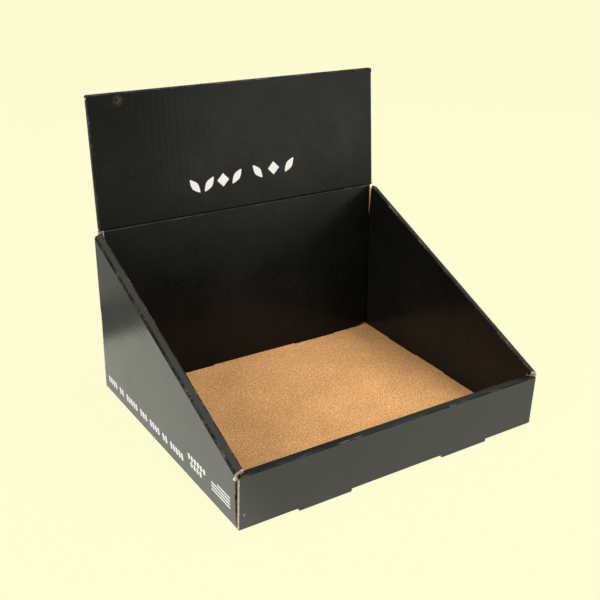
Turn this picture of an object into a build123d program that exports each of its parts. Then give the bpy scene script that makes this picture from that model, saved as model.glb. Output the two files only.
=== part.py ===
from build123d import *

import os
from math import atan2, cos, sin

# Counter display box: a low open tray with a tall header card behind it, folded
# from one die-cut blank of corrugated board that is printed on its outer face.
# Every wall is rolled over at its top into an inner panel, whose tabs lock into
# slots of the floor. X runs to the right, Y from front to back and Z up, in
# millimetres. The box stands on Z = 0, on two feet of its front wall and on the
# ends of the two tabs of its rear leaf.

# The board and its creases
board = 2.6  # thickness of the corrugated board
fold_round = 1.2  # radius of a crease on the printed face
soft_round = 3.0  # radius where a side wall bends over into its rolled top
play = 0.3  # gap between boards that lie against each other
clearance = 0.5  # gap beside a cut edge
floor_reach = 6.0  # how much of the floor is drawn with each wall
hinge_reach = 4.0  # how much of a wall is drawn with each flap

# The tray: Y from the front face, Z from the underside of the floor
body_width = 305.0
body_depth = 252.0
front_height = 48.5
front_rim_depth = 7.3  # rolled top of the front wall
front_rim_drop = 0.1
side_front_height = 49.0  # outer crease of a side wall at the front
side_rear_height = 152.8  # outer crease of a side wall at the rear
side_rim_depth = 7.3  # rolled top of a side wall
side_rim_rise = 3.0  # the rolled top climbs inwards
panel_inset = 11.3  # outer face of the front wall to its inner panel, at the floor

# The side walls lean outwards, the right one more than the left: how far the crease
# of each stands outside the floor at the front and at the rear, and how far its
# inner panel stands inside the edge of the floor
right_wall = {"front": 3.9, "rear": 5.2, "inset": 9.0}
left_wall = {"front": 2.4, "rear": 3.7, "inset": 11.3}
rear_corner_radius = 9.0  # lower rear corner of a side wall

# Header card, rear leaf and outer back panel, which are one strip of the blank
strip_x = 1.6  # the strip has folded up slightly to the right of the tray
header_width = 302.7
back_width = 307.7  # outer back panel, wider than the header
back_shoulder_z = 150.0  # where the back panel steps in to the header's width
header_height = 119.1
header_lean = 0.115  # radians
header_corner_radius = 2.0
hem_width = 28.0  # side flaps folded back behind the front layer of the header
hem_margin = 1.5
crease_y = 255.1  # front face of the header at its foot
crease_z = 155.8
crease_width = 1.6  # score line between header and leaf
crease_depth = 0.5
leaf_foot_y = 235.6  # front face of the leaf at the floor
leaf_top_width = 296.0
leaf_waist_width = 290.8
leaf_waist_z = 97.0
leaf_foot_width = 278.4
leaf_cut_width = 11.3  # cut corners at the foot of the leaf
leaf_cut_height = 6.0

# Flaps, tabs and feet
flap_length = 55.0  # corner flaps, hinged on the side walls
flap_cut = 6.0
front_flap_span = (3.2, 32.0)  # bottom and top of the flaps
rear_flap_span = (9.5, 80.0)
foot_drop = 2.0
foot_width = 51.0
foot_round = 1.0
tab_place = 73.0  # middle of a foot or a tab, to the side of the middle
front_tab_width = 48.0
rear_tab_width = 50.0
side_tab_length = 45.0
side_tab_places = (85.0, 175.0)
tab_end_z = 0.4

half_width = body_width / 2
half_header = header_width / 2
half_back = back_width / 2
half_floor = half_width - floor_reach
panel_foot_z = board + play
header_thickness = 2 * board + play
header_up = Vector(sin(header_lean), cos(header_lean))
header_back = Vector(cos(header_lean), -sin(header_lean))
header_foot = Vector(crease_y, crease_z)
header_foot_rear = header_foot + header_back * header_thickness
header_top = header_foot + header_up * header_height
header_top_rear = header_top + header_back * header_thickness
back_foot_y = body_depth + play + board
leaf_lean = atan2(crease_y - leaf_foot_y, crease_z)

# The origin is on the resting plane, under the middle of the whole box.
rounding = fold_round * (cos(header_lean) + sin(header_lean) - 1)
front_y = -(header_top_rear.X - rounding) / 2
tray_x = -(right_wall["rear"] - left_wall["rear"]) / 2


def place(x, y, z):
    """A point given from the tray's middle, front face and underside of its floor."""
    return (tray_x + x, front_y + y, foot_drop + z)


def level_plane(z):
    """Horizontal plane at height z, drawn in X and Y."""
    return Plane(origin=place(0, 0, z))


def cross_plane(y):
    """Upright plane across the box at distance y, drawn in X and Z."""
    return Plane(origin=place(0, y, 0), x_dir=(1, 0, 0), z_dir=(0, -1, 0))


def long_plane(x):
    """Upright plane from front to back at x, drawn in Y and Z."""
    return Plane(origin=place(x, 0, 0), x_dir=(0, 1, 0), z_dir=(1, 0, 0))


def leaning_plane(y, z, lean):
    """Plane across the box through (y, z), leaning back, drawn from its foot up."""
    return Plane(
        origin=place(strip_x, y, z),
        x_dir=(1, 0, 0),
        z_dir=(0, -cos(lean), sin(lean)),
    )


def wall_crease(wall, y):
    """Place (x, z) of the outer crease of a right-hand side wall at distance y."""
    along = y / body_depth
    x = half_width + wall["front"] + (wall["rear"] - wall["front"]) * along
    z = side_front_height + (side_rear_height - side_front_height) * along
    return x, z


def wall_lean(wall, y):
    """Outward lean of a side wall at distance y, per unit of height."""
    crease_x, crease_height = wall_crease(wall, y)
    return (crease_x - half_width) / crease_height


def wall_plane(wall, y):
    """Plane that a side wall's outer face has at distance y, drawn in Y and Z."""
    return Plane(
        origin=place(half_width, 0, 0),
        x_dir=(0, 1, 0),
        z_dir=(1, 0, -wall_lean(wall, y)),
    )


def hinge_plane(wall, y, z):
    """Plane square to the upright edge of a side wall at distance y."""
    lean = wall_lean(wall, y)
    return Plane(
        origin=place(half_width + lean * z, y, z),
        x_dir=(1, 0, -lean),
        z_dir=(lean, 0, 1),
    )


def offset_path(points, distance):
    """The path that lies at a distance to the left of a path of straight runs."""
    corners = [Vector(*point) for point in points]
    runs = [(end - start).normalized() for start, end in zip(corners, corners[1:])]
    normals = [Vector(-run.Y, run.X) for run in runs]
    moved = [corners[0] + normals[0] * distance]
    for corner, before, after in zip(corners[1:-1], normals, normals[1:]):
        moved.append(corner + (before + after) * (distance / (1 + before.dot(after))))
    moved.append(corners[-1] + normals[-1] * distance)
    return [(corner.X, corner.Y) for corner in moved]


def board_strip(printed_face, hand, rounds=None):
    """Draw the section of a folded strip of board from the path of its print.

    The board lies to the left of the path where hand is 1 and to its right where
    hand is -1. A crease is rounded on the printed face and sharp on the bare one.
    """
    bare_face = offset_path(printed_face, hand * board)
    if rounds is None:
        rounds = [fold_round] * (len(printed_face) - 2)
    with BuildLine() as outline:
        FilletPolyline(*printed_face, radius=rounds)
        Line(printed_face[-1], bare_face[-1])
        Polyline(*reversed(bare_face))
        Line(bare_face[0], printed_face[0])
    add(outline.line)
    make_face()


def front_panel_y(z):
    """Face of the inner front panel at height z."""
    rim_z = front_height - front_rim_drop
    slope = (panel_inset - front_rim_depth) / (rim_z - panel_foot_z)
    return front_rim_depth + slope * (rim_z - z)


def side_profile(wall, y):
    """Path of the print of a right-hand side wall where it is cut at distance y."""
    crease_x, crease_height = wall_crease(wall, y)
    return [
        (half_floor, 0),
        (half_width, 0),
        (crease_x, crease_height),
        (crease_x - side_rim_depth, crease_height + side_rim_rise),
        (half_width - wall["inset"], tab_end_z),
    ]


def leaf_reach(z):
    """Distance along the leaf from its upper crease to height z, as a negative."""
    return (z - crease_z) / cos(leaf_lean)


with BuildPart() as front_wall:
    # Floor edge, outer wall, rolled top and inner panel with its tabs
    with BuildSketch(long_plane(0)):
        board_strip(
            [
                (floor_reach, 0),
                (0, 0),
                (0, front_height),
                (front_rim_depth, front_height - front_rim_drop),
                (front_panel_y(tab_end_z), tab_end_z),
            ],
            hand=-1,
        )
    extrude(amount=half_width, both=True)

    # The inner panel is cut back to the floor between its tabs.
    tab_band = 3 * board
    with BuildSketch(level_plane(tab_end_z - clearance)):
        with Locations((0, front_panel_y(0) - board / 2)):
            Rectangle(body_width, tab_band)
        with Locations(*[(x, front_panel_y(0)) for x in (-tab_place, tab_place)]):
            Rectangle(front_tab_width, 3 * tab_band, mode=Mode.SUBTRACT)
    extrude(amount=panel_foot_z - tab_end_z + clearance, mode=Mode.SUBTRACT)

    # At both ends the floor stops at the side wall, and the inner panel short of it.
    side_gap_y = board + clearance
    panel_end_x = half_width - front_rim_depth - clearance
    rim_cut_z = front_height - board - clearance
    for side in (1, -1):
        outer_x = side * (half_width + 1)
        with BuildSketch(level_plane(-1)):
            with BuildLine():
                Polyline(
                    (outer_x, board),
                    (side * (half_width - fold_round), board),
                    (side * (half_width - fold_round), side_gap_y),
                    (side * half_floor, side_gap_y),
                    (side * half_floor, floor_reach + 1),
                    (outer_x, floor_reach + 1),
                    close=True,
                )
            make_face()
        extrude(amount=panel_foot_z + 1, mode=Mode.SUBTRACT)

        with BuildSketch(level_plane(0)):
            with BuildLine():
                Polyline(
                    (outer_x, side_gap_y),
                    (side * panel_end_x, side_gap_y),
                    (side * panel_end_x, 2 * panel_inset),
                    (outer_x, 2 * panel_inset),
                    close=True,
                )
            make_face()
        extrude(amount=rim_cut_z, mode=Mode.SUBTRACT)

        with BuildSketch(level_plane(rim_cut_z)):
            with BuildLine():
                Polyline(
                    (outer_x, -1),
                    (side * half_width, 0),
                    (side * panel_end_x, front_rim_depth),
                    (side * panel_end_x, 2 * panel_inset),
                    (outer_x, 2 * panel_inset),
                    close=True,
                )
            make_face()
        extrude(amount=2 * board, mode=Mode.SUBTRACT)

    # Two feet, cut free from the floor, stay upright in the wall.
    for x in (-tab_place, tab_place):
        with BuildSketch(level_plane(-1)):
            with Locations((x, board)):
                Rectangle(
                    foot_width + 2 * clearance,
                    floor_reach,
                    align=(Align.CENTER, Align.MIN),
                )
        extrude(amount=panel_foot_z + 1, mode=Mode.SUBTRACT)
        with BuildSketch(cross_plane(0)) as foot:
            with Locations((x, -foot_drop)):
                Rectangle(
                    foot_width,
                    foot_drop + board,
                    align=(Align.CENTER, Align.MIN),
                )
            fillet(foot.vertices().group_by(Axis.Z)[0], radius=foot_round)
        extrude(amount=-board)

def side_wall(wall):
    """A right-hand side wall: outer wall, rolled top, inner panel and corner flaps."""
    side_front_y = board + clearance
    panel_x = half_width - wall["inset"]
    with BuildPart() as rolled_wall:
        for y in (side_front_y, body_depth):
            with BuildSketch(cross_plane(y)):
                board_strip(
                    side_profile(wall, y),
                    hand=1,
                    rounds=[fold_round, soft_round, fold_round],
                )
        loft(ruled=True)

        # The inner panel is cut back to the floor between its tabs.
        with BuildSketch(level_plane(tab_end_z - clearance)):
            with Locations((panel_x + board / 2, body_depth / 2)):
                Rectangle(2 * board, 2 * body_depth)
            with Locations(*[(panel_x, y) for y in side_tab_places]):
                Rectangle(6 * board, side_tab_length, mode=Mode.SUBTRACT)
        extrude(amount=panel_foot_z - tab_end_z + clearance, mode=Mode.SUBTRACT)

        # It stops short of the inner front panel and of the rear corner flap.
        panel_rear_y = body_depth - board - clearance
        front_cut_top = front_height + clearance
        rear_cut_top = rear_flap_span[1] + clearance
        cut_foot = panel_foot_z - play / 2
        with BuildSketch(wall_plane(wall, panel_inset).offset(-board - clearance)):
            with BuildLine():
                Polyline(
                    (0, cut_foot),
                    (panel_inset + clearance, cut_foot),
                    (front_rim_depth + clearance, front_cut_top),
                    (0, front_cut_top),
                    close=True,
                )
            make_face()
        extrude(amount=-2 * panel_inset, mode=Mode.SUBTRACT)
        with BuildSketch(wall_plane(wall, body_depth).offset(-board - play)):
            with BuildLine():
                Polyline(
                    (panel_rear_y, cut_foot),
                    (body_depth + 1, cut_foot),
                    (body_depth + 1, rear_cut_top),
                    (panel_rear_y, rear_cut_top),
                    close=True,
                )
            make_face()
        extrude(amount=-2 * panel_inset, mode=Mode.SUBTRACT)

        # The lower rear corner of the outer wall is rounded off.
        corner_y = body_depth - rear_corner_radius
        with BuildSketch(wall_plane(wall, body_depth).offset(1)):
            with Locations((corner_y, -1)):
                Rectangle(
                    2 * rear_corner_radius,
                    rear_corner_radius + 1,
                    align=(Align.MIN, Align.MIN),
                )
            with Locations((corner_y, rear_corner_radius)):
                Circle(rear_corner_radius, mode=Mode.SUBTRACT)
        extrude(amount=-board - 1, mode=Mode.SUBTRACT)

        # Corner flaps, folded inwards behind the front wall and before the back wall
        for fold_y, turn, (flap_foot, flap_top) in (
            (side_front_y, 1, front_flap_span),
            (body_depth, -1, rear_flap_span),
        ):
            with BuildSketch(hinge_plane(wall, fold_y, flap_foot)):
                with Locations((-board, turn * hinge_reach)):
                    Rectangle(
                        4 * board,
                        3 * hinge_reach,
                        align=(Align.CENTER, Align.MAX if turn == 1 else Align.MIN),
                    )
            extrude(amount=flap_top - flap_foot, mode=Mode.SUBTRACT)
            with BuildSketch(hinge_plane(wall, fold_y, flap_foot)):
                board_strip([(0, turn * hinge_reach), (0, 0), (-flap_length, 0)], hand=-turn)
            extrude(amount=flap_top - flap_foot)
            free_x = half_width - flap_length
            with BuildSketch(cross_plane(fold_y)):
                for z, inward in ((flap_foot, 1), (flap_top, -1)):
                    with BuildLine():
                        Polyline(
                            (free_x - board, z - 2 * inward),
                            (free_x + 2 * flap_cut, z - 2 * inward),
                            (free_x - board, z + 2 * inward * flap_cut),
                            close=True,
                        )
                    make_face()
            extrude(amount=-turn * board, mode=Mode.SUBTRACT)
    return rolled_wall.part


with BuildPart() as back_and_header:
    # Outer back panel, header folded over at its top, and leaf down to the floor
    with BuildSketch(long_plane(strip_x)):
        board_strip(
            [
                (body_depth, 0),
                (back_foot_y, 0),
                (header_foot_rear.X, header_foot_rear.Y),
                (header_top_rear.X, header_top_rear.Y),
                (header_top.X, header_top.Y),
                (crease_y, crease_z),
                (leaf_foot_y - foot_drop * (crease_y - leaf_foot_y) / crease_z, -foot_drop),
            ],
            hand=1,
            rounds=[fold_round, 0, fold_round, fold_round, 0],
        )
    extrude(amount=half_back, both=True)
    with BuildSketch(cross_plane(leaf_foot_y - board)):
        for side in (1, -1):
            with Locations((strip_x + side * half_back, back_shoulder_z)):
                Rectangle(
                    back_width - header_width,
                    crease_z + header_height,
                    align=(Align.CENTER, Align.MIN),
                )
    extrude(amount=-body_depth, mode=Mode.SUBTRACT)

    # Outline of the leaf: narrower towards the floor, its lower corners cut off
    with BuildSketch(leaning_plane(crease_y, crease_z, leaf_lean)):
        for side in (1, -1):
            with BuildLine():
                Polyline(
                    (side * (half_back + 1), 0),
                    (side * leaf_top_width / 2, 0),
                    (side * leaf_waist_width / 2, leaf_reach(leaf_waist_z)),
                    (side * leaf_foot_width / 2, leaf_reach(panel_foot_z + leaf_cut_height)),
                    (side * (leaf_foot_width / 2 - leaf_cut_width), leaf_reach(panel_foot_z)),
                    (side * (half_back + 1), leaf_reach(panel_foot_z)),
                    close=True,
                )
            make_face()
        with Locations((0, leaf_reach(panel_foot_z))):
            Rectangle(back_width + 2, 2 * foot_drop + board, align=(Align.CENTER, Align.MAX))
        with Locations(*[(x, leaf_reach(0)) for x in (-tab_place, tab_place)]):
            Rectangle(rear_tab_width, 4 * panel_foot_z, mode=Mode.SUBTRACT)
    extrude(amount=-board - play / 2, mode=Mode.SUBTRACT)

    # The tabs end level on the resting plane.
    with BuildSketch(level_plane(-foot_drop)):
        with Locations((0, leaf_foot_y)):
            Rectangle(back_width + 2, 4 * board)
    extrude(amount=-board, mode=Mode.SUBTRACT)

    # The rear layer of the header is narrower, because it lies between the side flaps.
    rear_layer_width = header_width - 2 * hem_width - 2 * clearance
    rear_plane = leaning_plane(header_foot_rear.X, header_foot_rear.Y, header_lean)
    with BuildSketch(rear_plane):
        with Locations((-half_header, 0), (half_header, 0)):
            Rectangle(
                header_width - rear_layer_width,
                header_height - board,
                align=(Align.CENTER, Align.MIN),
            )
    extrude(amount=board + play / 2, mode=Mode.SUBTRACT)

    # Side flaps of the header, folded flat behind its front layer
    hem_plane = Plane(
        origin=place(strip_x, crease_y, crease_z),
        x_dir=(1, 0, 0),
        z_dir=(0, sin(header_lean), cos(header_lean)),
    ).offset(hem_margin)
    hem_length = header_height - board - 2 * hem_margin
    with BuildSketch(hem_plane):
        with Locations((-half_header, -1), (half_header, -1)):
            Rectangle(
                2 * hinge_reach,
                board + play / 2 + 1,
                align=(Align.CENTER, Align.MIN),
            )
    extrude(amount=hem_length, mode=Mode.SUBTRACT)
    with BuildSketch(hem_plane):
        for side in (1, -1):
            board_strip(
                [
                    (side * (half_header - hem_width), header_thickness),
                    (side * half_header, header_thickness),
                    (side * half_header, 0),
                    (side * (half_header - hinge_reach), 0),
                ],
                hand=-side,
            )
    extrude(amount=hem_length)
    with BuildSketch(rear_plane):
        for side in (1, -1):
            free_x = side * (half_header - hem_width)
            for reach, inward in ((hem_margin, 1), (hem_margin + hem_length, -1)):
                with BuildLine():
                    Polyline(
                        (free_x - side * clearance, reach - inward),
                        (free_x + side * flap_cut, reach - inward),
                        (free_x - side * clearance, reach + inward * 2 * flap_cut),
                        close=True,
                    )
                make_face()
    extrude(amount=board + play / 2, mode=Mode.SUBTRACT)

    # The upper corners of the header are slightly rounded.
    with BuildSketch(leaning_plane(crease_y, crease_z, header_lean)):
        for side in (1, -1):
            with Locations((side * half_header, header_height)):
                Rectangle(2 * header_corner_radius, 2 * header_corner_radius)
            with Locations(
                (
                    side * (half_header - header_corner_radius),
                    header_height - header_corner_radius,
                )
            ):
                Circle(header_corner_radius, mode=Mode.SUBTRACT)
    extrude(amount=header_thickness + 1, both=True, mode=Mode.SUBTRACT)

    # Score line between header and leaf
    with BuildSketch(long_plane(strip_x)):
        with BuildLine():
            Polyline(
                (crease_y - crease_depth, crease_z - crease_width),
                (crease_y, crease_z - crease_width / 2),
                (crease_y + crease_depth, crease_z),
                (crease_y, crease_z + crease_width / 2),
                (crease_y - crease_depth, crease_z + crease_width),
                close=True,
            )
        make_face()
    extrude(amount=half_header, both=True, mode=Mode.SUBTRACT)

with BuildPart() as display_box:
    # Floor, with the slots that the tabs of the inner panels lock into
    with BuildSketch(level_plane(0)):
        with Locations((0, floor_reach)):
            Rectangle(
                2 * half_floor,
                body_depth - floor_reach,
                align=(Align.CENTER, Align.MIN),
            )
        front_slot_depth = panel_inset + clearance - floor_reach
        for x in (-tab_place, tab_place):
            with Locations((x, floor_reach)):
                Rectangle(
                    foot_width + 2 * clearance,
                    2 * front_slot_depth,
                    mode=Mode.SUBTRACT,
                )
            with Locations((strip_x + x, leaf_foot_y + board / 2)):
                Rectangle(
                    rear_tab_width + 2 * clearance,
                    board + 3 * clearance,
                    mode=Mode.SUBTRACT,
                )
        for side, wall in ((1, right_wall), (-1, left_wall)):
            for y in side_tab_places:
                with Locations((side * (half_width - wall["inset"] + board / 2), y)):
                    Rectangle(
                        board + 2 * clearance,
                        side_tab_length + 2 * clearance,
                        mode=Mode.SUBTRACT,
                    )
    extrude(amount=board)
    add(front_wall.part)
    add(side_wall(right_wall))
    add(mirror(side_wall(left_wall), about=long_plane(0), mode=Mode.PRIVATE))
    add(back_and_header.part)

display_box.part.label = "display_box"
os.makedirs("parts", exist_ok=True)
export_step(display_box.part, "parts/display_box.step")
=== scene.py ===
"""Counter display box: a rolled-wall tray with a tall header card, folded from one blank.

The board is printed black on its outer face and plain kraft inside.
Cut edges show the cream of the board. A few plain white marks are printed on it.
"""

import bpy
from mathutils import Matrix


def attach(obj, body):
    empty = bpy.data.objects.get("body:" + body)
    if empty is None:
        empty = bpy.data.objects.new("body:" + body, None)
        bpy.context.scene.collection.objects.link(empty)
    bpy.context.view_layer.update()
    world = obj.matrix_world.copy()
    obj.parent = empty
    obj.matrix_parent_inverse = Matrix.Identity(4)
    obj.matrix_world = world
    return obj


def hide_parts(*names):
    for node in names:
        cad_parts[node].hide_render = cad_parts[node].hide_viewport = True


bl_info = {
    "name": "Counter display box",
    "version": (1, 0, 0),
    "blender": (4, 5, 0),
    "location": "View3D > Sidebar > Display box",
    "description": "Printed and plain board, white marks and a stage for the display box",
    "category": "Object",
}

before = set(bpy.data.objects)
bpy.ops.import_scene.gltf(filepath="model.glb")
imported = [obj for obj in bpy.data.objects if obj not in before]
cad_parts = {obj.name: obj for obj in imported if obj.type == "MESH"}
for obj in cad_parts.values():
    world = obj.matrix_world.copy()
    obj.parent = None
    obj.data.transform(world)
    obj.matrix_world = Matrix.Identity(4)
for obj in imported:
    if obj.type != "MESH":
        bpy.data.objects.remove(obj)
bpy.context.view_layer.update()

import math

import bmesh
import bpy
from bpy.props import FloatProperty, FloatVectorProperty, PointerProperty
from mathutils import Matrix, Vector
from mathutils.bvhtree import BVHTree

BOARD_NODE = "display_box"
MM = 0.001

# Sides of the board, as the material slots of its faces. INNER is print that has
# lost its shine: on the header, on the folds and inside the tray
PRINTED, KRAFT, CUT, INNER = 0, 1, 2, 3

# Places on the folded board, in metres
HEADER_FOOT = 0.1592  # above this height every face belongs to the header card
HEADER_CREASE = 0.157  # height from which the marks on the header are placed
CREASE_LINE = 0.1579  # height of the line pressed in at the foot of the header
FLOOR_TOP = 0.0066  # the upper face of the floor lies below this height
WIDEST_GAP = 0.018  # no gap between two layers of the board is wider
FRONT_FACE = -0.1371  # front face of the front wall
WALL_FRONT = -0.1343  # the front ends of the side walls lie close behind this
RIM_FOOT = 0.0462  # height at which the rims of the side walls start at the front
SIDE_FACE = 0.1515  # further from the middle, a face that looks outwards is printed
TRAY_MIDDLE = -0.00075  # middle of the tray from left to right

# How the faces of the board are told apart
PATCH_ANGLE = math.radians(25.0)  # a sharper edge ends a patch of faces
SHARP_ANGLE = math.radians(35.0)  # a sharper edge is shaded as an edge
BEND_ANGLE = math.radians(4.0)  # a sharper edge belongs to a rounded fold
NARROW_FACE = 0.5  # faces of a fold are narrower than this share of the board
OTHER_FACE = 1.6  # the other face of the board lies within this many thicknesses
RAY_START = 0.01  # a ray starts this share of the board away from its face
FRONT_END = 0.85  # depth of the front ends of the side walls, as a share of the board
FORWARD = -0.2  # y of the normal of a face that looks forwards
OUTWARD = 0.3  # least share of the normal that points outwards
INWARD = 0.15  # least share of the normal that points to the middle of the tray
LEVEL = 0.6  # a face whose normal has more height than this is not a wall

VARNISH_IOR = 1.56  # refraction of the varnish on the print

# Rubbed spots on the print: place and radius in metres, and strength
SCUFFS = (
    ((-0.1222, 0.1335, 0.269), 0.0065, 0.10),
    ((-0.1485, -0.1371, 0.0154), 0.0013, 1.0),
    ((0.0522, -0.1371, 0.0500), 0.0012, 0.9),
    ((0.0559, -0.1371, 0.0500), 0.0010, 0.8),
)

# Marks on the header: place along it and above its crease in millimetres, and for
# the leaves their turn in degrees. Sizes are shares of the tallest mark
LEAVES = (
    (-53.0, 27.5, 38.0),
    (-38.0, 27.5, -38.0),
    (-8.0, 31.0, -38.0),
    (15.0, 32.5, 38.0),
    (51.0, 34.5, -38.0),
)
LEAF_WIDTH = 0.42
LEAF_HEIGHT = 0.95
DIAMONDS = ((-23.0, 29.5), (33.0, 33.5))
DIAMOND_WIDTH = 0.75

# Marks on the side wall, in millimetres back from the front wall and up
DASH_WIDTH = 3.4
DASH_TURN = math.radians(14.0)
DASH_STEP = 5.0
ROW_START = 243.0
ROW_HEIGHT = 15.0
ROW_GROUPS = (4, 2, 5, 3, 4, 2, 5)  # dashes in each group of the long row
SHORT_STEP = 5.2
SHORT_SHARE = 0.75  # height of the dashes in the short rows
SHORT_ROWS = ((80.0, 23.5, 6), (76.0, 17.2, 4))  # start, height and number of dashes
STRIPE_END = 12.2
STRIPE_FOOT = 15.6
STRIPE_STEP = 3.1
STRIPE_WIDTH = 1.5
STRIPES = (30.0, 30.0, 30.0, 20.0)  # length of each stripe, from the lowest

# Where the marks are drawn, in metres, before they are laid on the board
BEFORE_HEADER = -0.05
BESIDE_WALL = -0.2

# Painted reflection: where the floor glows for gloss rays only, standing in for a lit table, and
# the pale ceiling of the room in gloss.
# Each edge runs between the first two values, in metres, and the light goes from the third value
# to the fourth
NEAR_RING = (0.34, 0.46, 1.0, 0.10)  # by the distance from the tray
BESIDE = (0.195, 0.225, 1.0, 0.22)  # near table, towards the back
BEFORE = (-0.16, -0.10, 1.0, 0.66)  # near table, towards the right
BEHIND = (0.23, 0.33, 0.0, 0.42)  # table behind the tray
AHEAD = (-1.15, -0.45, 0.9, 0.0)  # table in front of the tray
AHEAD_RIGHT = (0.65, 1.0, 1.0, 0.1)  # its right end
BEYOND = (-1.12, -1.02, 1.0, 0.0)  # far table in front
BEYOND_LEFT = (0.38, 0.50, 0.0, 1.0)  # its left end
CEILING = (0.75, 0.92, 0.0, 0.5)  # by the height of the direction
PAINTED_REFLECTION_COLOUR = (0.97, 1.0, 0.84, 1.0)
ROOM_COLOUR = (1.0, 0.99, 0.95, 1.0)

# The camera sees the plain backdrop colour, and a little of the lit floor through it
PLAIN_SHARE = 0.965
FLOOR_PAINT = (0.78, 0.77, 0.66, 1.0)
FLOOR_RADIUS = 12.0
FLOOR_DROP = 0.2 * MM  # how far the floor lies below the feet

# Lamps: place, the point each one faces, and width, in metres
OVERHEAD_LAMP = ((0.65, -0.26, 1.45), (0.0, 0.0, 0.05), 1.0)
FRONT_LAMP = ((0.88, -0.95, 0.46), (0.88, 0.13, 0.46), 0.9)
LEFT_LAMP = ((-1.6, -0.5, 1.0), (-0.15, 0.0, 0.05), 1.0)
SENSOR_WIDTH = 36.0  # millimetres


class BoardLook(bpy.types.PropertyGroup):
    """Colours and texture of the board."""

    print_colour: FloatVectorProperty(
        name="Print",
        description="Black print on the outer face of the board",
        subtype="COLOR",
        size=4,
        min=0.0,
        max=1.0,
        default=(0.0058, 0.0058, 0.0050, 1.0),
    )
    kraft_colour: FloatVectorProperty(
        name="Kraft",
        description="Unprinted inner face of the board",
        subtype="COLOR",
        size=4,
        min=0.0,
        max=1.0,
        default=(0.66, 0.345, 0.132, 1.0),
    )
    cut_colour: FloatVectorProperty(
        name="Cut edge",
        description="Freshly cut edge of the board",
        subtype="COLOR",
        size=4,
        min=0.0,
        max=1.0,
        default=(0.80, 0.66, 0.47, 1.0),
    )
    board: FloatProperty(
        name="Board",
        description="Thickness of the board",
        unit="LENGTH",
        default=2.6 * MM,
    )
    flute_pitch: FloatProperty(
        name="Flute pitch",
        description="Distance between two flutes of the board",
        unit="LENGTH",
        default=6.4 * MM,
    )
    print_roughness: FloatProperty(
        name="Print roughness",
        description="Roughness of the varnished print",
        min=0.0,
        max=1.0,
        default=0.22,
    )
    outer_shine: FloatProperty(
        name="Outer shine",
        description="Specular level of the print on the outer walls, rubbed smooth by handling",
        min=0.0,
        max=1.0,
        default=1.0,
    )
    inner_shine: FloatProperty(
        name="Inner shine",
        description="Specular level of the print on the header, the folds and inside the tray",
        min=0.0,
        max=1.0,
        default=0.12,
    )


class MarkLook(bpy.types.PropertyGroup):
    """Sizes and colour of the white marks."""

    ink_colour: FloatVectorProperty(
        name="Ink",
        description="White of the printed marks",
        subtype="COLOR",
        size=4,
        min=0.0,
        max=1.0,
        default=(0.86, 0.86, 0.83, 1.0),
    )
    ink_height: FloatProperty(
        name="Ink height",
        description="How far the ink stands above the board",
        unit="LENGTH",
        default=0.06 * MM,
    )
    header_mark: FloatProperty(
        name="Header mark",
        description="Height of the tallest mark on the header",
        unit="LENGTH",
        default=17.0 * MM,
    )
    side_mark: FloatProperty(
        name="Side mark",
        description="Height of the marks in the row on the side wall",
        unit="LENGTH",
        default=6.5 * MM,
    )


class StageLook(bpy.types.PropertyGroup):
    """Backdrop, light and camera."""

    backdrop_colour: FloatVectorProperty(
        name="Backdrop",
        description="Pale floor and backdrop",
        subtype="COLOR",
        size=4,
        min=0.0,
        max=1.0,
        default=(1.0, 0.982, 0.651, 1.0),
    )
    camera_place: FloatVectorProperty(
        name="Camera",
        description="Place of the camera",
        subtype="TRANSLATION",
        unit="LENGTH",
        size=3,
        default=(-0.44353, -0.63954, 0.45891),
    )
    camera_turn: FloatVectorProperty(
        name="Camera turn",
        description="Turn of the camera",
        subtype="EULER",
        unit="ROTATION",
        size=3,
        default=(math.radians(65.48813), math.radians(-1.84424), math.radians(-33.10128)),
    )
    camera_lens: FloatProperty(
        name="Lens",
        description="Focal length in millimetres on a 36 mm sensor",
        default=57.12,
    )
    room_light: FloatProperty(
        name="Room light",
        description="Strength of the even light from all sides",
        default=0.2,
    )
    lamp_power: FloatProperty(
        name="Lamp power",
        description="Power of the large soft lamp above",
        unit="POWER",
        default=20.0,
    )
    card_power: FloatProperty(
        name="Card power",
        description="Power of the upright soft lamp in front, to the right",
        unit="POWER",
        default=4.5,
    )
    left_power: FloatProperty(
        name="Left power",
        description="Power of the soft lamp to the left",
        unit="POWER",
        default=30.0,
    )


def node_at(tree, kind, place, **values):
    """Adds a shader node at a place in the tree and sets its properties."""
    node = tree.nodes.new(kind)
    node.location = place
    for name, value in values.items():
        setattr(node, name, value)
    return node


def maths(tree, operation, place, *inputs, clamp=False):
    """Adds a Math node; each input is a number or a socket."""
    node = node_at(tree, "ShaderNodeMath", place, operation=operation, use_clamp=clamp)
    for socket, value in zip(node.inputs, inputs):
        if isinstance(value, bpy.types.NodeSocket):
            tree.links.new(value, socket)
        else:
            socket.default_value = value
    return node.outputs[0]


def remap(tree, value, place, low, high, to_low, to_high):
    """Adds a Map Range node from low..high to to_low..to_high."""
    node = node_at(tree, "ShaderNodeMapRange", place)
    tree.links.new(value, node.inputs["Value"])
    node.inputs["From Min"].default_value = low
    node.inputs["From Max"].default_value = high
    node.inputs["To Min"].default_value = to_low
    node.inputs["To Max"].default_value = to_high
    return node.outputs["Result"]


def smooth_step(tree, value, place, low, high, to_low, to_high):
    """Adds a Map Range node that eases from to_low to to_high."""
    result = remap(tree, value, place, low, high, to_low, to_high)
    result.node.interpolation_type = "SMOOTHSTEP"
    return result


def mix_colours(tree, factor, place, first, second):
    """Adds a colour Mix node; each input is a colour or a socket."""
    node = node_at(tree, "ShaderNodeMix", place, data_type="RGBA")
    sockets = (node.inputs[0], node.inputs[6], node.inputs[7])
    for socket, value in zip(sockets, (factor, first, second)):
        if isinstance(value, bpy.types.NodeSocket):
            tree.links.new(value, socket)
        else:
            socket.default_value = value
    return node.outputs[2]


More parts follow.
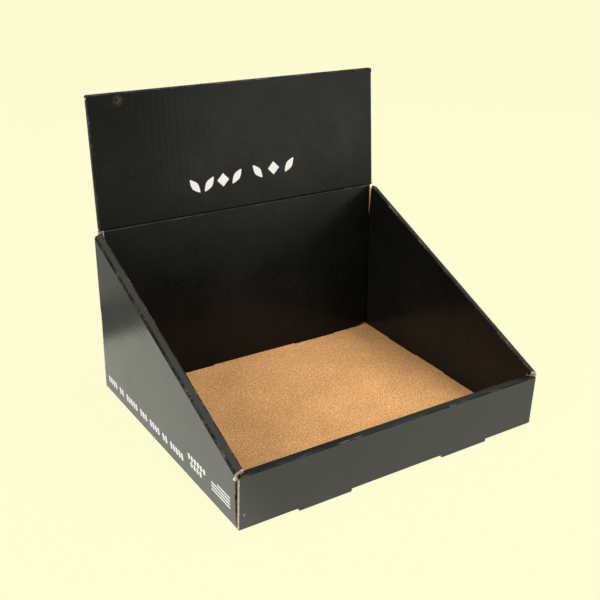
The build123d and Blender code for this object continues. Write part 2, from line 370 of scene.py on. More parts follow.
def noise(tree, vector, place, scale, detail=3.0, rough=0.5):
    """Adds a Noise Texture node on the given coordinates."""
    node = node_at(tree, "ShaderNodeTexNoise", place)
    tree.links.new(vector, node.inputs["Vector"])
    node.inputs["Scale"].default_value = scale
    node.inputs["Detail"].default_value = detail
    node.inputs["Roughness"].default_value = rough
    return node.outputs["Fac"]


def new_group(name, inputs, outputs):
    """Makes an empty shader node group with named sockets."""
    group = bpy.data.node_groups.new(name, "ShaderNodeTree")
    for label, kind, default in inputs:
        socket = group.interface.new_socket(label, in_out="INPUT", socket_type=kind)
        if default is not None:
            socket.default_value = default
    for label, kind in outputs:
        group.interface.new_socket(label, in_out="OUTPUT", socket_type=kind)
    entry = node_at(group, "NodeGroupInput", (-1200, 0))
    end = node_at(group, "NodeGroupOutput", (600, 0))
    return group, entry, end


def flute_lines_group():
    """Faint lines that the flutes press through the liner. Used on print and on kraft."""
    group, entry, end = new_group(
        "Flute lines",
        [
            ("Blank", "NodeSocketVector", None),
            ("Pitch", "NodeSocketFloat", 0.0064),
        ],
        [("Ridge", "NodeSocketFloat")],
    )
    split = node_at(group, "ShaderNodeSeparateXYZ", (-1000, 0))
    group.links.new(entry.outputs["Blank"], split.inputs[0])
    stretch = node_at(group, "ShaderNodeVectorMath", (-1000, -220), operation="MULTIPLY")
    stretch.inputs[1].default_value = (1.0, 0.12, 1.0)
    group.links.new(entry.outputs["Blank"], stretch.inputs[0])
    wander = noise(group, stretch.outputs[0], (-800, -220), 45.0, 2.0)
    turns = maths(group, "DIVIDE", (-800, 0), split.outputs[0], entry.outputs["Pitch"])
    shifted = maths(group, "ADD", (-620, 0), turns, wander)
    angle = maths(group, "MULTIPLY", (-460, 0), shifted, math.tau)
    wave = maths(group, "SINE", (-300, 0), angle)
    broken = noise(group, stretch.outputs[0], (-620, -320), 260.0, 3.0)
    strength = remap(group, broken, (-300, -320), 0.35, 0.75, 0.25, 1.0)
    ridge = maths(group, "MULTIPLY", (-100, 0), wave, strength)
    group.links.new(ridge, end.inputs["Ridge"])
    return group


def fold_wear_group():
    """Rubbed spots along the folds. Used on print and on kraft."""
    group, entry, end = new_group(
        "Fold wear",
        [
            ("Place", "NodeSocketVector", None),
            ("Fold", "NodeSocketFloat", 0.0),
            ("Amount", "NodeSocketFloat", 0.5),
        ],
        [("Wear", "NodeSocketFloat")],
    )
    coarse = noise(group, entry.outputs["Place"], (-800, 120), 55.0, 4.0, 0.6)
    fine = noise(group, entry.outputs["Place"], (-800, -120), 900.0, 2.0, 0.6)
    both = maths(group, "MULTIPLY", (-600, 0), coarse, fine)
    spots = remap(group, both, (-420, 0), 0.26, 0.40, 0.0, 1.0)
    on_fold = maths(group, "MULTIPLY", (-220, 0), spots, entry.outputs["Fold"])
    wear = maths(group, "MULTIPLY", (-60, 0), on_fold, entry.outputs["Amount"])
    group.links.new(wear, end.inputs["Wear"])
    return group


def place_group(tree, group, place, **sockets):
    """Places a node group in a material; each socket gets a number or a link."""
    node = node_at(tree, "ShaderNodeGroup", place, node_tree=group)
    for name, value in sockets.items():
        if isinstance(value, bpy.types.NodeSocket):
            tree.links.new(value, node.inputs[name])
        else:
            node.inputs[name].default_value = value
    return node


def new_material(name):
    """Makes a material and gives its tree and its Principled shader."""
    material = bpy.data.materials.new(name)
    material.use_nodes = True
    tree = material.node_tree
    shader = tree.nodes["Principled BSDF"]
    shader.location = (400, 0)
    tree.nodes["Material Output"].location = (700, 0)
    return material, tree, shader


def add_bump(tree, shader, height, place, strength, distance):
    """Adds a Bump node from a height to the normal of the shader."""
    bump = node_at(tree, "ShaderNodeBump", place)
    bump.inputs["Strength"].default_value = strength
    bump.inputs["Distance"].default_value = distance
    tree.links.new(height, bump.inputs["Height"])
    tree.links.new(bump.outputs[0], shader.inputs["Normal"])


def board_inputs(tree, look, flutes, wear, amount):
    """Adds what print and kraft share: place, fold, ridge of the flutes and wear."""
    place = node_at(tree, "ShaderNodeTexCoord", (-1800, 0)).outputs["Object"]
    blank = node_at(tree, "ShaderNodeUVMap", (-1800, -300), uv_map="Blank").outputs[0]
    stored = node_at(tree, "ShaderNodeAttribute", (-1800, 300), attribute_name="fold")
    fold = stored.outputs["Fac"]
    fluted = place_group(tree, flutes, (-1200, -300), Blank=blank, Pitch=look.flute_pitch)
    worn = place_group(tree, wear, (-1200, 300), Place=place, Fold=fold, Amount=amount)
    return place, fold, fluted.outputs["Ridge"], worn.outputs["Wear"]


def spot_mask(tree, coordinates, height, centre, radius, strength):
    """Gives the strength near a point of the object and 0 outside the radius."""
    offset = node_at(tree, "ShaderNodeVectorMath", (-1500, height), operation="SUBTRACT")
    offset.inputs[1].default_value = centre
    tree.links.new(coordinates, offset.inputs[0])
    length = node_at(tree, "ShaderNodeVectorMath", (-1340, height), operation="LENGTH")
    tree.links.new(offset.outputs[0], length.inputs[0])
    away = length.outputs["Value"]
    return remap(tree, away, (-1180, height), radius * 0.4, radius, strength, 0.0)


def scuff_mask(tree, coordinates):
    """Gives the rubbed spots of the print, broken up by a fine noise."""
    scuffs = None
    for number, scuff in enumerate(SCUFFS):
        height = -700 - 160 * number
        spot = spot_mask(tree, coordinates, height, *scuff)
        first = scuffs is None
        scuffs = spot if first else maths(tree, "MAXIMUM", (-900, height), scuffs, spot)
    rough_patch = noise(tree, coordinates, (-1100, -560), 700.0, 4.0, 0.7)
    broken = remap(tree, rough_patch, (-900, -560), 0.45, 0.6, 0.0, 1.0)
    return maths(tree, "MULTIPLY", (-500, -620), scuffs, broken)


def crease_mask(tree, coordinates):
    """Gives 1 along the line pressed in at the foot of the header."""
    point = node_at(tree, "ShaderNodeSeparateXYZ", (-1500, 600))
    tree.links.new(coordinates, point.inputs[0])
    above = maths(tree, "SUBTRACT", (-1340, 600), point.outputs[2], CREASE_LINE)
    off_line = maths(tree, "ABSOLUTE", (-1180, 600), above)
    return remap(tree, off_line, (-1020, 600), 0.4 * MM, 1.1 * MM, 1.0, 0.0)


def black_print(look, flutes, wear, name, shine):
    """Black print under a thin satin varnish; shine is its specular level."""
    material, tree, shader = new_material(name)
    place, fold, ridge, rubbed = board_inputs(tree, look, flutes, wear, 0.16)

    cloudy = noise(tree, place, (-1200, 60), 14.0, 4.0, 0.55)
    fibres = noise(tree, place, (-1200, -120), 700.0, 3.0, 0.65)
    tone = remap(tree, cloudy, (-1000, 60), 0.3, 0.7, 0.75, 1.25)
    speck = remap(tree, fibres, (-1000, -120), 0.3, 0.7, 0.45, 1.6)
    level = maths(tree, "MULTIPLY", (-820, 0), tone, speck)
    ink = node_at(tree, "ShaderNodeVectorMath", (-640, 0), operation="SCALE")
    ink.inputs[0].default_value = look.print_colour[:3]
    tree.links.new(level, ink.inputs["Scale"])

    bare = maths(tree, "MAXIMUM", (-300, -300), scuff_mask(tree, place), rubbed)
    colour = mix_colours(tree, bare, (60, 60), ink.outputs[0], look.cut_colour[:])
    tree.links.new(colour, shader.inputs["Base Color"])

    groove = crease_mask(tree, place)
    smear = noise(tree, place, (-1000, -420), 30.0, 5.0, 0.6)
    smooth = look.print_roughness - 0.05
    dull = look.print_roughness + 0.07
    gloss = remap(tree, smear, (-700, -420), 0.3, 0.7, smooth, dull)
    matt = maths(tree, "MULTIPLY", (-300, -460), bare, 0.4)
    pressed = maths(tree, "MAXIMUM", (-280, -360), fold, groove)
    creased = maths(tree, "MULTIPLY_ADD", (-120, -360), pressed, 0.3, gloss)
    roughness = maths(tree, "ADD", (60, -260), creased, matt, clamp=True)
    tree.links.new(roughness, shader.inputs["Roughness"])
    shader.inputs["Specular IOR Level"].default_value = shine
    shader.inputs["IOR"].default_value = VARNISH_IOR

    grain = maths(tree, "MULTIPLY", (-500, -180), fibres, 0.12)
    lines = maths(tree, "MULTIPLY_ADD", (-400, -120), ridge, 0.14, grain)
    warp = noise(tree, place, (-700, -20), 9.0, 1.0)
    waved = maths(tree, "MULTIPLY_ADD", (-300, -120), warp, 6.0, lines)
    height = maths(tree, "MULTIPLY_ADD", (-140, -120), groove, -6.0, waved)
    add_bump(tree, shader, height, (160, -420), 1.0, 0.1 * MM)
    return material


def plain_kraft(look, flutes, wear):
    """Unprinted kraft liner with fine fibres and specks."""
    material, tree, shader = new_material("plain_kraft")
    place, _, ridge, rubbed = board_inputs(tree, look, flutes, wear, 0.25)

    along = node_at(tree, "ShaderNodeVectorMath", (-1500, 0), operation="MULTIPLY")
    along.inputs[1].default_value = (1.0, 0.75, 1.0)
    tree.links.new(place, along.inputs[0])
    cloudy = noise(tree, place, (-1200, 120), 22.0, 4.0, 0.6)
    fibres = noise(tree, along.outputs[0], (-1200, 0), 900.0, 2.0, 0.6)
    flecks = noise(tree, along.outputs[0], (-1200, -120), 1700.0, 2.0, 0.6)
    tone = remap(tree, cloudy, (-1000, 120), 0.3, 0.7, 0.88, 1.10)
    grain = remap(tree, fibres, (-1000, 0), 0.3, 0.7, 0.45, 1.50)
    dark = remap(tree, flecks, (-1000, -120), 0.28, 0.40, 0.72, 1.0)
    line = remap(tree, ridge, (-1000, -300), -1.0, 1.0, 0.985, 1.015)
    level = maths(tree, "MULTIPLY", (-820, 60), tone, grain)
    level = maths(tree, "MULTIPLY", (-660, 0), level, dark)
    level = maths(tree, "MULTIPLY", (-500, 0), level, line)
    paper = node_at(tree, "ShaderNodeVectorMath", (-300, 0), operation="SCALE")
    paper.inputs[0].default_value = look.kraft_colour[:3]
    tree.links.new(level, paper.inputs["Scale"])
    colour = mix_colours(tree, rubbed, (60, 60), paper.outputs[0], look.cut_colour[:])
    tree.links.new(colour, shader.inputs["Base Color"])
    rough = remap(tree, fibres, (-300, -260), 0.3, 0.7, 0.78, 0.92)
    tree.links.new(rough, shader.inputs["Roughness"])
    shader.inputs["Specular IOR Level"].default_value = 0.3

    height = maths(tree, "ADD", (-300, -420), ridge, fibres)
    add_bump(tree, shader, height, (160, -420), 0.4, 0.08 * MM)
    return material


def cut_edge(look):
    """Cut edge: two pale liners with the wave of the flutes between them, set in painted shade:
    the open flutes are painted dark, and the edge is painted darker towards the kraft side.
    """
    material, tree, shader = new_material("cut_edge")
    texture = node_at(tree, "ShaderNodeTexCoord", (-1600, 0))
    place = texture.outputs["Object"]
    blank = node_at(tree, "ShaderNodeUVMap", (-1600, -300), uv_map="Blank")
    stored = node_at(tree, "ShaderNodeAttribute", (-1600, 300), attribute_name="across")
    across = stored.outputs["Fac"]
    split = node_at(tree, "ShaderNodeSeparateXYZ", (-1400, -300))
    tree.links.new(blank.outputs[0], split.inputs[0])
    turns = maths(tree, "DIVIDE", (-1200, -300), split.outputs[0], look.flute_pitch)
    angle = maths(tree, "MULTIPLY", (-1040, -300), turns, math.tau)
    wave = maths(tree, "SINE", (-880, -300), angle)
    middle = maths(tree, "MULTIPLY_ADD", (-720, -300), wave, 0.32, 0.5)
    gap = maths(tree, "SUBTRACT", (-560, -100), across, middle)
    near = maths(tree, "ABSOLUTE", (-420, -100), gap)
    medium = remap(tree, near, (-260, -100), 0.07, 0.15, 1.0, 0.0)
    from_middle = maths(tree, "SUBTRACT", (-560, 200), across, 0.5)
    outward = maths(tree, "ABSOLUTE", (-420, 200), from_middle)
    liner = remap(tree, outward, (-260, 200), 0.33, 0.40, 0.0, 1.0)
    solid = maths(tree, "MAXIMUM", (-80, 60), medium, liner)
    fuzz = noise(tree, place, (-420, -400), 1100.0, 3.0, 0.65)
    frayed = remap(tree, fuzz, (-260, -400), 0.3, 0.7, 0.0, 0.55)
    filled = maths(tree, "MAXIMUM", (60, 0), solid, frayed)
    # Painted shade: the liners and the flutes fade into the dark of the open flutes towards the
    # kraft side
    outer = remap(tree, across, (60, 200), 0.3, 0.6, 1.0, 0.25)
    shown = maths(tree, "MULTIPLY", (120, 100), filled, outer)
    # Painted shade: the open flutes between the liners get 0.3 of the cut colour
    painted_flute_shade = [value * 0.3 for value in look.cut_colour[:3]] + [1.0]
    colour = mix_colours(tree, shown, (200, 120), painted_flute_shade, look.cut_colour[:])
    tree.links.new(colour, shader.inputs["Base Color"])
    shader.inputs["Roughness"].default_value = 0.85
    shader.inputs["Specular IOR Level"].default_value = 0.25
    add_bump(tree, shader, filled, (200, -300), 0.5, 0.2 * MM)
    return material


def white_ink(look):
    """White ink that has sunk a little into the print."""
    material, tree, shader = new_material("white_ink")
    texture = node_at(tree, "ShaderNodeTexCoord", (-900, 0))
    patchy = noise(tree, texture.outputs["Object"], (-700, 0), 900.0, 3.0, 0.6)
    fade = remap(tree, patchy, (-500, 0), 0.3, 0.7, 0.0, 0.3)
    thin = [value * 0.75 for value in look.ink_colour[:3]] + [1.0]
    colour = mix_colours(tree, fade, (-200, 0), look.ink_colour[:], thin)
    tree.links.new(colour, shader.inputs["Base Color"])
    shader.inputs["Roughness"].default_value = 0.45
    add_bump(tree, shader, patchy, (-200, -300), 0.2, 0.05 * MM)
    return material


def smooth_patches(mesh, limit):
    """Groups of faces that are joined without a sharp edge between them."""
    left = set(mesh.faces)
    patches = []
    while left:
        patch = [left.pop()]
        for face in patch:
            for edge in face.edges:
                if edge.calc_face_angle(math.pi) < limit:
                    joined = [other for other in edge.link_faces if other in left]
                    left.difference_update(joined)
                    patch.extend(joined)
        patches.append(patch)
    return patches


def sort_faces(mesh, board, gap, floor_top, header_foot):
    """Gives each patch of faces its side of the board: printed, kraft or cut edge.

    A face of the board has its other face one board away, and a cut edge doesn't.
    The printed side shows all round. A patch is kraft where it looks across the gap
    between two layers, and on the floor of the tray.
    """
    tree = BVHTree.FromBMesh(mesh)
    for patch in smooth_patches(mesh, PATCH_ANGLE):
        areas = {PRINTED: 0.0, KRAFT: 0.0, CUT: 0.0}
        for face in patch:
            centre = face.calc_center_median()
            step = face.normal * board * RAY_START
            depth = tree.ray_cast(centre - step, -face.normal)[3]
            clear = tree.ray_cast(centre + step, face.normal)[3]
            on_floor = face.normal.z > 0.5 and centre.z < floor_top
            if (depth is None or depth > board * OTHER_FACE) and centre.z < header_foot:
                side = CUT
            elif on_floor or (clear is not None and clear < gap):
                side = KRAFT
            else:
                side = PRINTED
            areas[side] += face.calc_area()
        kind = max(areas, key=areas.get)
        for face in patch:
            face.material_index = kind


def looks_outward(face):
    """Whether a face looks away from the middle of the tray, to the left or right."""
    x = face.calc_center_median().x
    return face.normal.x * x > abs(x) * OUTWARD


def mark_front_folds(mesh, board):
    """Prints the folds at the front ends of the side walls and leaves their rims cut."""
    ends = []
    for face in mesh.faces:
        depth = face.calc_center_median().y - WALL_FRONT
        if 0.0 < depth < board * FRONT_END and (face.normal.y < FORWARD or looks_outward(face)):
            ends.append(face)
    edges = {edge for face in ends for edge in face.edges}
    verts = {vert for face in ends for vert in face.verts}
    cut = bmesh.ops.bisect_plane(
        mesh,
        geom=ends + list(edges) + list(verts),
        plane_co=(0.0, 0.0, RIM_FOOT),
        plane_no=(0.0, 0.0, 1.0),
    )
    for face in (item for item in cut["geom"] if isinstance(item, bmesh.types.BMFace)):
        face.material_index = CUT if face.calc_center_median().z > RIM_FOOT else PRINTED


def mark_outer_print(mesh):
    """Prints the kraft faces that look outwards from the outside of the side walls."""
    for face in mesh.faces:
        outside = abs(face.calc_center_median().x) > SIDE_FACE
        if face.material_index == KRAFT and outside and looks_outward(face):
            face.material_index = PRINTED


def mark_inner_print(mesh):
    """Gives the inner print to the printed faces that look into the tray or forwards."""
    for face in mesh.faces:
        if face.material_index != PRINTED:
            continue
        centre = face.calc_center_median()
        inwards = Vector((-centre.x, -centre.y, 0.0))
        if inwards.normalized().dot(face.normal) > INWARD and abs(face.normal.z) < LEVEL:
            face.material_index = INNER


def lay_out_blank(mesh):
    """UVs in metres, with the flutes along V, and the place across a cut edge."""
    blank = mesh.loops.layers.uv.new("Blank")
    across = mesh.verts.layers.float.new("across")
    for vert in mesh.verts:
        sides = {face.material_index for face in vert.link_faces}
        if sides & {PRINTED, INNER} and KRAFT not in sides:
            vert[across] = 0.0
        elif KRAFT in sides and not sides & {PRINTED, INNER}:
            vert[across] = 1.0
        else:
            vert[across] = 0.5
    for face in mesh.faces:
        turned = max(range(3), key=lambda axis: abs(face.normal[axis]))
        for loop in face.loops:
            x, y, z = loop.vert.co
            if turned == 0:
                loop[blank].uv = (z, y)
            elif turned == 1:
                loop[blank].uv = (x, z)
            else:
                loop[blank].uv = (x, y)


def mark_folds(mesh, board):
    """Stores 1 on the rounded faces of the folds, where the print has lost its shine."""
    fold = mesh.faces.layers.float.new("fold")
    for edge in mesh.edges:
        edge.smooth = edge.is_manifold and edge.calc_face_angle(0.0) < SHARP_ANGLE
    for face in mesh.faces:
        face.smooth = True
        bends = [
            edge
            for edge in face.edges
            if edge.smooth and edge.calc_face_angle(0.0) > BEND_ANGLE
        ]
        width = face.calc_area() / max(edge.calc_length() for edge in face.edges)
        if bends and width < board * NARROW_FACE:
            face[fold] = 1.0
            if face.material_index == PRINTED:
                face.material_index = INNER


def new_piece(name, mesh, materials):
    """Makes a shown object at the origin from a bmesh."""
    data = bpy.data.meshes.new(name)
    mesh.to_mesh(data)
    mesh.free()
    for material in materials:
        data.materials.append(material)
    piece = bpy.data.objects.new(name, data)
    bpy.context.scene.collection.objects.link(piece)
    return piece


class DISPLAYBOX_OT_folded_board(bpy.types.Operator):
    """Dress the folded board in print, kraft and cut edges"""

    bl_idname = "displaybox.folded_board"
    bl_label = "Folded board"

    def execute(self, context):
        look = context.scene.displaybox_board
        mesh = bmesh.new()
        mesh.from_mesh(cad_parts[BOARD_NODE].data)
        bmesh.ops.remove_doubles(mesh, verts=mesh.verts, dist=look.board * 0.001)
        mesh.normal_update()
        sort_faces(mesh, look.board, WIDEST_GAP, FLOOR_TOP, HEADER_FOOT)
        mark_front_folds(mesh, look.board)
        mark_outer_print(mesh)
        mark_inner_print(mesh)
        lay_out_blank(mesh)
        mark_folds(mesh, look.board)
        flutes = flute_lines_group()
        wear = fold_wear_group()
        materials = [
            black_print(look, flutes, wear, "black_print", look.outer_shine),
            plain_kraft(look, flutes, wear),
            cut_edge(look),
            black_print(look, flutes, wear, "inner_print", look.inner_shine),
        ]
        piece = new_piece("folded_board", mesh, materials)
        flat = piece.modifiers.new("Even shading", "WEIGHTED_NORMAL")
        flat.keep_sharp = True
        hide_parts(BOARD_NODE)
        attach(piece, "root")
        return {"FINISHED"}


def set_shape(mesh, verts, width, height, turn, centre):
    """Sizes, turns and places a flat shape in the plane z = 0."""
    bmesh.ops.scale(mesh, verts=verts, vec=(width, height, 1.0))
    spin = Matrix.Rotation(turn, 3, "Z")
    bmesh.ops.rotate(mesh, verts=verts, cent=(0, 0, 0), matrix=spin)
    bmesh.ops.translate(mesh, verts=verts, vec=(centre[0], centre[1], 0.0))


def add_diamond(mesh, width, height, centre):
    """Adds a flat diamond."""
    diamond = bmesh.ops.create_circle(mesh, cap_ends=True, segments=4, radius=0.5)
    set_shape(mesh, diamond["verts"], width, height, 0.0, centre)


def add_leaf(mesh, width, height, turn, centre):
    """Adds a leaf: a round shape drawn in to a point at both ends."""
    leaf = bmesh.ops.create_circle(mesh, cap_ends=True, segments=28, radius=0.5)
    for vert in leaf["verts"]:
        vert.co.x *= 1.0 - abs(vert.co.y * 2.0) ** 1.5 * 0.6
    set_shape(mesh, leaf["verts"], width, height, turn, centre)


def add_bar(mesh, width, height, turn, centre):
    """Adds a flat bar with square ends."""
    bar = bmesh.ops.create_grid(mesh, x_segments=1, y_segments=1, size=0.5)
    set_shape(mesh, bar["verts"], width, height, turn, centre)


def lay_on_board(mesh, to_world, toward, ink_height):
    """Lays flat shapes on the printed face that lies in the given direction."""
    node = bmesh.new()
    node.from_mesh(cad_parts[BOARD_NODE].data)
    board = BVHTree.FromBMesh(node)
    bmesh.ops.transform(mesh, matrix=to_world, verts=mesh.verts)
    facing = None
    for vert in mesh.verts:
        hit, normal, _, _ = board.ray_cast(vert.co, toward)
        if hit is None:
            raise RuntimeError("a printed mark misses the board")
        vert.co = hit - normal * ink_height
        facing = normal
    node.free()
    raised = bmesh.ops.extrude_face_region(mesh, geom=mesh.faces[:])
    tops = [item for item in raised["geom"] if isinstance(item, bmesh.types.BMVert)]
    bmesh.ops.translate(mesh, verts=tops, vec=facing * ink_height * 2.0)
    bmesh.ops.recalc_face_normals(mesh, faces=mesh.faces)


def finish_marks(name, mesh, look):
    """Makes the marks a piece in white ink."""
    ink = bpy.data.materials.get("white_ink") or white_ink(look)
    piece = new_piece(name, mesh, [ink])
    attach(piece, "root")


class DISPLAYBOX_OT_header_print(bpy.types.Operator):
    """Print a short row of plain white shapes on the header card"""

    bl_idname = "displaybox.header_print"
    bl_label = "Header print"

    def execute(self, context):
        look = context.scene.displaybox_marks
        tall = look.header_mark
        mesh = bmesh.new()
        width, height = tall * LEAF_WIDTH, tall * LEAF_HEIGHT
        for x, z, turn in LEAVES:
            add_leaf(mesh, width, height, math.radians(turn), (x * MM, z * MM))
        width = tall * DIAMOND_WIDTH
        for x, z in DIAMONDS:
            add_diamond(mesh, width, width, (x * MM, z * MM))
        in_front = Matrix.Translation((TRAY_MIDDLE, BEFORE_HEADER, HEADER_CREASE))
        upright = Matrix.Rotation(math.pi / 2, 4, "X")
        lay_on_board(mesh, in_front @ upright, Vector((0.0, 1.0, 0.0)), look.ink_height)
        finish_marks("header_print", mesh, look)
        return {"FINISHED"}


class DISPLAYBOX_OT_side_print(bpy.types.Operator):
    """Print rows of dashes and a block of stripes on the left side wall"""

    bl_idname = "displaybox.side_print"
    bl_label = "Side print"

    def execute(self, context):
        look = context.scene.displaybox_marks
        tall = look.side_mark
        mesh = bmesh.new()
        width = DASH_WIDTH * MM
        y = ROW_START
        for count in ROW_GROUPS:
            for _ in range(count):
                add_bar(mesh, width, tall, DASH_TURN, (-y * MM, ROW_HEIGHT * MM))
                y -= DASH_STEP
            y -= DASH_STEP
        for start, height, count in SHORT_ROWS:
            for step in range(count):
                centre = (-(start - step * SHORT_STEP) * MM, height * MM)
                add_bar(mesh, width, tall * SHORT_SHARE, DASH_TURN, centre)
        for stripe, length in enumerate(STRIPES):
            centre = (-(STRIPE_END + length / 2) * MM, (STRIPE_FOOT + stripe * STRIPE_STEP) * MM)
            add_bar(mesh, length * MM, STRIPE_WIDTH * MM, 0.0, centre)
        beside = Matrix.Translation((BESIDE_WALL, FRONT_FACE, 0.0))
        turn = Matrix.Rotation(-math.pi / 2, 4, "Z") @ Matrix.Rotation(math.pi / 2, 4, "X")
        lay_on_board(mesh, beside @ turn, Vector((1.0, 0.0, 0.0)), look.ink_height)
        finish_marks("side_print", mesh, look)
        return {"FINISHED"}


def backdrop_material(colour):
    """Pale backdrop: its own colour to the camera, and glowing patches in gloss, a painted
    reflection of a lit table.

    The camera still sees a little of the plain floor, so the object keeps its shadow.
    """
    material = bpy.data.materials.new("pale_backdrop")
    material.use_nodes = True
    tree = material.node_tree
    tree.nodes.clear()
    output = node_at(tree, "ShaderNodeOutputMaterial", (900, 0))
    rays = node_at(tree, "ShaderNodeLightPath", (-600, 300))
    texture = node_at(tree, "ShaderNodeTexCoord", (-1200, -200))
    place = node_at(tree, "ShaderNodeSeparateXYZ", (-1000, -400))
    tree.links.new(texture.outputs["Object"], place.inputs[0])
    distance = node_at(tree, "ShaderNodeVectorMath", (-1000, -200), operation="LENGTH")
    tree.links.new(texture.outputs["Object"], distance.inputs[0])
    x, y = place.outputs[0], place.outputs[1]
    ring = smooth_step(tree, distance.outputs["Value"], (-800, -200), *NEAR_RING)
    beside = smooth_step(tree, y, (-800, -1000), *BESIDE)
    before = smooth_step(tree, x, (-800, -1200), *BEFORE)
    near = maths(tree, "MULTIPLY", (-600, -250), ring, beside)
    near = maths(tree, "MULTIPLY", (-440, -250), near, before)
    behind = smooth_step(tree, y, (-800, -600), *BEHIND)
    ahead = smooth_step(tree, y, (-800, -400), *AHEAD)
    ahead_right = smooth_step(tree, x, (-800, -800), *AHEAD_RIGHT)
    front = maths(tree, "MULTIPLY", (-600, -500), ahead, ahead_right)
    beyond = smooth_step(tree, y, (-800, -1400), *BEYOND)
    beyond_left = smooth_step(tree, x, (-800, -1600), *BEYOND_LEFT)
    farthest = maths(tree, "MULTIPLY", (-600, -900), beyond, beyond_left)
    front = maths(tree, "MAXIMUM", (-440, -600), front, farthest)
    far = maths(tree, "ADD", (-300, -400), front, behind)
    level = maths(tree, "MAXIMUM", (-160, -300), near, far)
    paint = node_at(tree, "ShaderNodeBsdfDiffuse", (-80, -120))
    paint.inputs["Color"].default_value = FLOOR_PAINT
    glow = node_at(tree, "ShaderNodeEmission", (-80, 0))
    glow.inputs["Color"].default_value = colour
    # Painted reflection: the floor glows in these patches for gloss rays only, standing in for a
    # lit table
    painted_reflection = node_at(tree, "ShaderNodeEmission", (-80, -260))
    painted_reflection.inputs["Color"].default_value = PAINTED_REFLECTION_COLOUR
    tree.links.new(level, painted_reflection.inputs["Strength"])
    through = rays.outputs["Is Transmission Ray"]
    seen = maths(tree, "ADD", (-400, 300), rays.outputs["Is Camera Ray"], through)
    share = maths(tree, "MULTIPLY", (-240, 300), seen, PLAIN_SHARE)
    shown = node_at(tree, "ShaderNodeMixShader", (300, 100))
    tree.links.new(share, shown.inputs[0])
    tree.links.new(paint.outputs[0], shown.inputs[1])
    tree.links.new(glow.outputs[0], shown.inputs[2])
    mixed = node_at(tree, "ShaderNodeMixShader", (600, 0))
    tree.links.new(rays.outputs["Is Glossy Ray"], mixed.inputs[0])
    tree.links.new(shown.outputs[0], mixed.inputs[1])
    tree.links.new(painted_reflection.outputs[0], mixed.inputs[2])
    tree.links.new(mixed.outputs[0], output.inputs[0])
    return material


def room_world(colour, strength):
    """Even room light with a pale ceiling in gloss, seen by the camera as backdrop."""
    world = bpy.data.worlds.new("room")
    world.use_nodes = True
    tree = world.node_tree
    tree.nodes.clear()
    output = node_at(tree, "ShaderNodeOutputWorld", (600, 0))
    rays = node_at(tree, "ShaderNodeLightPath", (-400, 200))
    texture = node_at(tree, "ShaderNodeTexCoord", (-1000, -100))
    height = node_at(tree, "ShaderNodeSeparateXYZ", (-800, -100))
    tree.links.new(texture.outputs["Generated"], height.inputs[0])
    ceiling = smooth_step(tree, height.outputs[2], (-600, -100), *CEILING)
    gloss = maths(tree, "MULTIPLY", (-400, -100), ceiling, rays.outputs["Is Glossy Ray"])
    level = maths(tree, "MAXIMUM", (-200, -100), gloss, strength)
    light = node_at(tree, "ShaderNodeBackground", (0, 0))
    light.inputs["Color"].default_value = ROOM_COLOUR
    tree.links.new(level, light.inputs["Strength"])
    shown = node_at(tree, "ShaderNodeBackground", (0, -160))
    shown.inputs["Color"].default_value = colour
    mixed = node_at(tree, "ShaderNodeMixShader", (300, 0))
    tree.links.new(rays.outputs["Is Camera Ray"], mixed.inputs[0])
    tree.links.new(light.outputs[0], mixed.inputs[1])
    tree.links.new(shown.outputs[0], mixed.inputs[2])
    tree.links.new(mixed.outputs[0], output.inputs[0])
    return world


def soft_lamp(name, place, target, size, power):
    """Adds a square area lamp that faces a point."""
    data = bpy.data.lights.new(name, "AREA")
    data.shape = "SQUARE"
    data.size = size
    data.energy = power
    lamp = bpy.data.objects.new(name, data)
    lamp.location = place
    lamp.rotation_euler = (Vector(target) - Vector(place)).to_track_quat("-Z", "Y").to_euler()
    lamp.visible_camera = False
    bpy.context.scene.collection.objects.link(lamp)


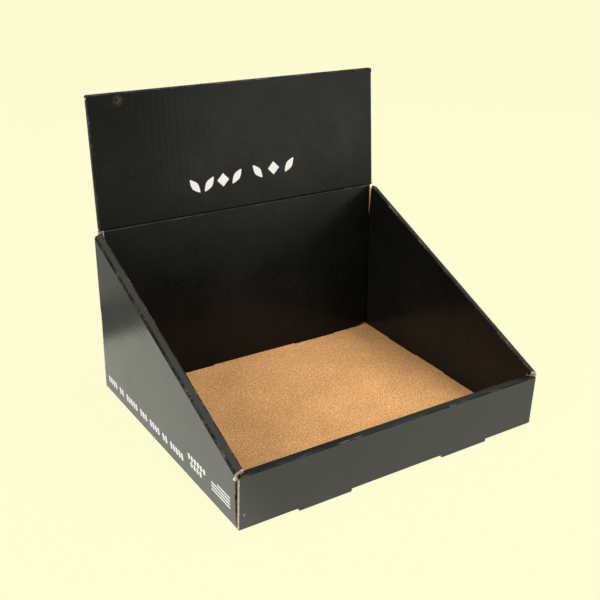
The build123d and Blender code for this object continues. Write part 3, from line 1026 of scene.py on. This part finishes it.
class DISPLAYBOX_OT_stage(bpy.types.Operator):
    """Make the pale floor, the soft light and the camera"""

    bl_idname = "displaybox.stage"
    bl_label = "Stage"

    def execute(self, context):
        look = context.scene.displaybox_stage
        colour = look.backdrop_colour[:]
        mesh = bmesh.new()
        bmesh.ops.create_circle(mesh, cap_ends=True, segments=64, radius=FLOOR_RADIUS)
        bmesh.ops.translate(mesh, verts=mesh.verts, vec=(0.0, 0.0, -FLOOR_DROP))
        floor = new_piece("floor", mesh, [backdrop_material(colour)])
        scene = context.scene
        scene.world = room_world(colour, look.room_light)
        soft_lamp("overhead_lamp", *OVERHEAD_LAMP, look.lamp_power)
        soft_lamp("front_lamp", *FRONT_LAMP, look.card_power)
        soft_lamp("left_lamp", *LEFT_LAMP, look.left_power)
        data = bpy.data.cameras.new("camera")
        data.sensor_width = SENSOR_WIDTH
        data.lens = look.camera_lens
        camera = bpy.data.objects.new("camera", data)
        camera.location = look.camera_place
        camera.rotation_euler = look.camera_turn
        scene.collection.objects.link(camera)
        scene.camera = camera
        scene.view_settings.view_transform = "Standard"
        return {"FINISHED"}


class DISPLAYBOX_PT_sidebar(bpy.types.Panel):
    """Lists the pieces of the display box"""

    bl_idname = "DISPLAYBOX_PT_sidebar"
    bl_label = "Display box"
    bl_space_type = "VIEW_3D"
    bl_region_type = "UI"
    bl_category = "Display box"

    def draw(self, context):
        for group in (
            context.scene.displaybox_board,
            context.scene.displaybox_marks,
            context.scene.displaybox_stage,
        ):
            box = self.layout.box()
            for name in group.bl_rna.properties.keys():
                if name not in ("rna_type", "name"):
                    box.prop(group, name)
        for operator in OPERATORS:
            self.layout.operator(operator.bl_idname)


OPERATORS = (
    DISPLAYBOX_OT_folded_board,
    DISPLAYBOX_OT_header_print,
    DISPLAYBOX_OT_side_print,
    DISPLAYBOX_OT_stage,
)
GROUPS = (BoardLook, MarkLook, StageLook)
CLASSES = GROUPS + OPERATORS + (DISPLAYBOX_PT_sidebar,)


def register():
    for item in CLASSES:
        bpy.utils.register_class(item)
    bpy.types.Scene.displaybox_board = PointerProperty(type=BoardLook)
    bpy.types.Scene.displaybox_marks = PointerProperty(type=MarkLook)
    bpy.types.Scene.displaybox_stage = PointerProperty(type=StageLook)


def unregister():
    del bpy.types.Scene.displaybox_stage
    del bpy.types.Scene.displaybox_marks
    del bpy.types.Scene.displaybox_board
    for item in reversed(CLASSES):
        bpy.utils.unregister_class(item)


def main():
    register()
    bpy.ops.displaybox.folded_board()
    bpy.ops.displaybox.header_print()
    bpy.ops.displaybox.side_print()
    bpy.ops.displaybox.stage()


if __name__ == "__main__":
    main()
